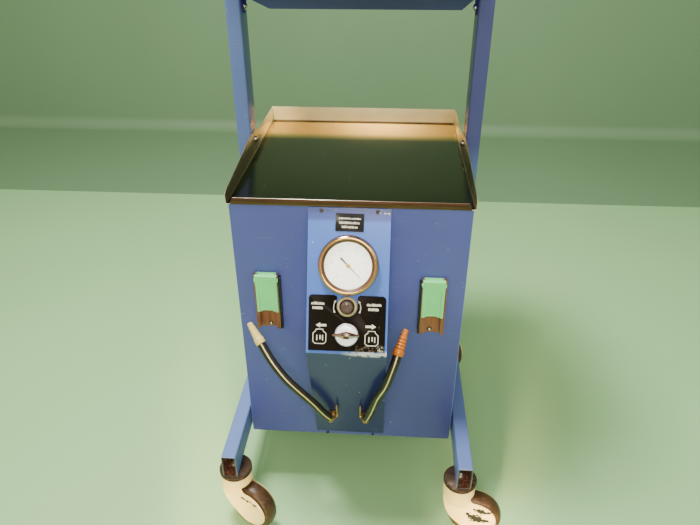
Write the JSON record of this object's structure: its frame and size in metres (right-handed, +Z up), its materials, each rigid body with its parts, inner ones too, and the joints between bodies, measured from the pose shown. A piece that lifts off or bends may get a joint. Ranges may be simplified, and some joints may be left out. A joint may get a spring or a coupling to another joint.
{
  "type": "mobile suction unit",
  "caption": "Wheeled medical suction unit: blue cabinet with a sloping console, vacuum gauge, regulator, jar brackets, hoses, tray and tilting shelf on hooded casters.",
  "frame": {"origin": "on the floor, under the middle of the bounding box", "axes": "+Z up; the user stands at -Y and looks towards +Y; +X is to the user's right"},
  "size_m": [0.5802, 0.6205, 0.9918],
  "materials": {
    "frame_paint": "glossy blue-violet enamel, worn at the edges",
    "cabinet_paint": "satin grey-blue enamel",
    "console_paint": "glossy light blue enamel",
    "shelf_paint": "glossy dark blue enamel",
    "stainless": "bright stainless",
    "tray_stainless": "polished stainless with fine scratches",
    "bolt_steel": "bright zinc plate",
    "zinc_steel": "dull zinc plate",
    "gauge_metal": "polished, warm",
    "chrome": "polished",
    "brass": "polished, slightly tarnished",
    "black_plate": "glossy black anodised or printed plate",
    "dial_white": "matt cream-white",
    "needle_black": "matt black",
    "gauge_glass": "clear",
    "cream_plastic": "aged cream",
    "brown_plastic": "dark brown, knurled",
    "green_plastic": "light green moulded",
    "hose_rubber": "black antistatic rubber with a pale stripe",
    "cream_tip": "cream moulded",
    "orange_plastic": "orange moulded",
    "clear_bowl": "clear polycarbonate bowl",
    "caster_steel": "dark pressed steel",
    "caster_paint": "cream enamel, chipped",
    "caster_tyre": "dark brown rubber",
    "cast_aluminium": "as cast",
    "silencer_aluminium": "turned",
    "black_plastic": "moulded"
  },
  "bodies": {
    "trolley": {"base_rail_left": "frame_paint", "base_rail_right": "frame_paint", "upright_left": "frame_paint", "upright_right": "frame_paint", "upright_cap_left": "black_plastic", "upright_cap_right": "black_plastic", "rear_cross_tube": "frame_paint", "cabinet_shell": "cabinet_paint", "back_panel": "cabinet_paint", "console_housing": "console_paint", "control_plate": "black_plate", "gauge_case": "gauge_metal", "gauge_dial": "dial_white", "gauge_glass": "gauge_glass", "regulator_ring": "cream_plastic", "regulator_valve": "brass", "selector_disc": "chrome", "selector_valve": "brass", "bracket_plate_left": "stainless", "bracket_plate_right": "stainless", "outlet_fitting_left": "brass", "outlet_fitting_right": "brass", "hose_left": "hose_rubber", "hose_right": "hose_rubber", "hose_connector_left": "cream_tip", "hose_connector_right": "orange_plastic", "lower_tray": "tray_stainless", "tray_bolt_left": "bolt_steel", "tray_bolt_right": "bolt_steel", "shelf_bolt_left": "bolt_steel", "shelf_bolt_right": "bolt_steel", "pump_mount_plate": "zinc_steel", "pump_motor": "cast_aluminium", "pump_head": "cast_aluminium", "intake_filter": "clear_bowl", "exhaust_silencer": "silencer_aluminium", "mains_inlet": "black_plastic", "power_switch_frame": "black_plastic", "caster_collar_front_left": "caster_steel", "caster_collar_front_right": "caster_steel", "caster_collar_rear_left": "caster_steel", "caster_collar_rear_right": "caster_steel"},
    "shelf": {"upper_shelf": "shelf_paint"},
    "gauge_pointer": {"gauge_needle": "needle_black"},
    "regulator": {"regulator_knob": "brown_plastic"},
    "selector": {"selector_lever": "chrome"},
    "clip_left": {"jar_clip_left": "green_plastic"},
    "clip_right": {"jar_clip_right": "green_plastic"},
    "tap_left": {"tap_lever_left": "brass"},
    "tap_right": {"tap_lever_right": "brass"},
    "rocker": {"power_rocker": "black_plastic"},
    "fan": {"motor_fan": "black_plastic"},
    "swivel_front_left": {"caster_hood_front_left": "caster_paint"},
    "wheel_front_left": {"caster_wheel_front_left": "caster_tyre"},
    "swivel_front_right": {"caster_hood_front_right": "caster_paint"},
    "wheel_front_right": {"caster_wheel_front_right": "caster_tyre"},
    "swivel_rear_left": {"caster_hood_rear_left": "caster_paint"},
    "wheel_rear_left": {"caster_wheel_rear_left": "caster_tyre"},
    "swivel_rear_right": {"caster_hood_rear_right": "caster_paint"},
    "wheel_rear_right": {"caster_wheel_rear_right": "caster_tyre"}
  },
  "joints": [
    {"name": "shelf_tilt", "type": "hinge", "parent": "trolley", "child": "shelf", "pos_m": [0, 0.077, 0.8878], "axis": [1, 0, 0], "range_deg": [0, 12.8]},
    {"name": "gauge_needle_turn", "type": "hinge", "parent": "trolley", "child": "gauge_pointer", "pos_m": [0, -0.19874, 0.54171], "axis": [0, -0.9159, 0.4015], "range_deg": [0, 270], "stiffness_Nm_per_rad": 0.001},
    {"name": "regulator_turn", "type": "hinge", "parent": "trolley", "child": "regulator", "pos_m": [0, -0.22544, 0.4808], "axis": [0, -0.9159, 0.4015], "range_deg": [-270, 270]},
    {"name": "selector_turn", "type": "hinge", "parent": "trolley", "child": "selector", "pos_m": [0, -0.24395, 0.43858], "axis": [0, -0.9159, 0.4015], "range_deg": [-180, 0]},
    {"name": "jar_clip_left_slide", "type": "slide", "parent": "trolley", "child": "clip_left", "axis": [0, 0, 1], "range_m": [0, 0.045]},
    {"name": "jar_clip_right_slide", "type": "slide", "parent": "trolley", "child": "clip_right", "axis": [0, 0, 1], "range_m": [0, 0.045]},
    {"name": "tap_left_turn", "type": "hinge", "parent": "trolley", "child": "tap_left", "pos_m": [-0.0217, -0.19823, 0.21604], "axis": [1, 0, 0], "range_deg": [0, 90]},
    {"name": "tap_right_turn", "type": "hinge", "parent": "trolley", "child": "tap_right", "pos_m": [0.0217, -0.19823, 0.21604], "axis": [1, 0, 0], "range_deg": [0, 90]},
    {"name": "power_rocker_tip", "type": "hinge", "parent": "trolley", "child": "rocker", "pos_m": [0.135, 0.2189, 0.1961], "axis": [1, 0, 0], "range_deg": [0, 20]},
    {"name": "motor_fan_spin", "type": "hinge", "parent": "trolley", "child": "fan", "pos_m": [-0.0923, 0.074, 0.2343], "axis": [1, 0, 0], "continuous": true},
    {"name": "caster_swivel_front_left", "type": "hinge", "parent": "trolley", "child": "swivel_front_left", "pos_m": [-0.208, -0.257, 0.1105], "axis": [0, 0, 1], "continuous": true},
    {"name": "caster_roll_front_left", "type": "hinge", "parent": "swivel_front_left", "child": "wheel_front_left", "pos_m": [-0.17873, -0.27224, 0.0495], "axis": [0.4617, 0.887, 0], "continuous": true},
    {"name": "caster_swivel_front_right", "type": "hinge", "parent": "trolley", "child": "swivel_front_right", "pos_m": [0.208, -0.257, 0.1105], "axis": [0, 0, 1], "continuous": true},
    {"name": "caster_roll_front_right", "type": "hinge", "parent": "swivel_front_right", "child": "wheel_front_right", "pos_m": [0.24022, -0.26414, 0.0495], "axis": [0.2164, 0.9763, 0], "continuous": true},
    {"name": "caster_swivel_rear_left", "type": "hinge", "parent": "trolley", "child": "swivel_rear_left", "pos_m": [-0.208, 0.254, 0.1105], "axis": [0, 0, 1], "continuous": true},
    {"name": "caster_roll_rear_left", "type": "hinge", "parent": "swivel_rear_left", "child": "wheel_rear_left", "pos_m": [-0.24022, 0.24686, 0.0495], "axis": [0.2164, -0.9763, 0], "continuous": true},
    {"name": "caster_swivel_rear_right", "type": "hinge", "parent": "trolley", "child": "swivel_rear_right", "pos_m": [0.208, 0.254, 0.1105], "axis": [0, 0, 1], "continuous": true},
    {"name": "caster_roll_rear_right", "type": "hinge", "parent": "swivel_rear_right", "child": "wheel_rear_right", "pos_m": [0.2245, 0.22542, 0.0495], "axis": [0.866, 0.5, 0], "continuous": true}
  ]
}
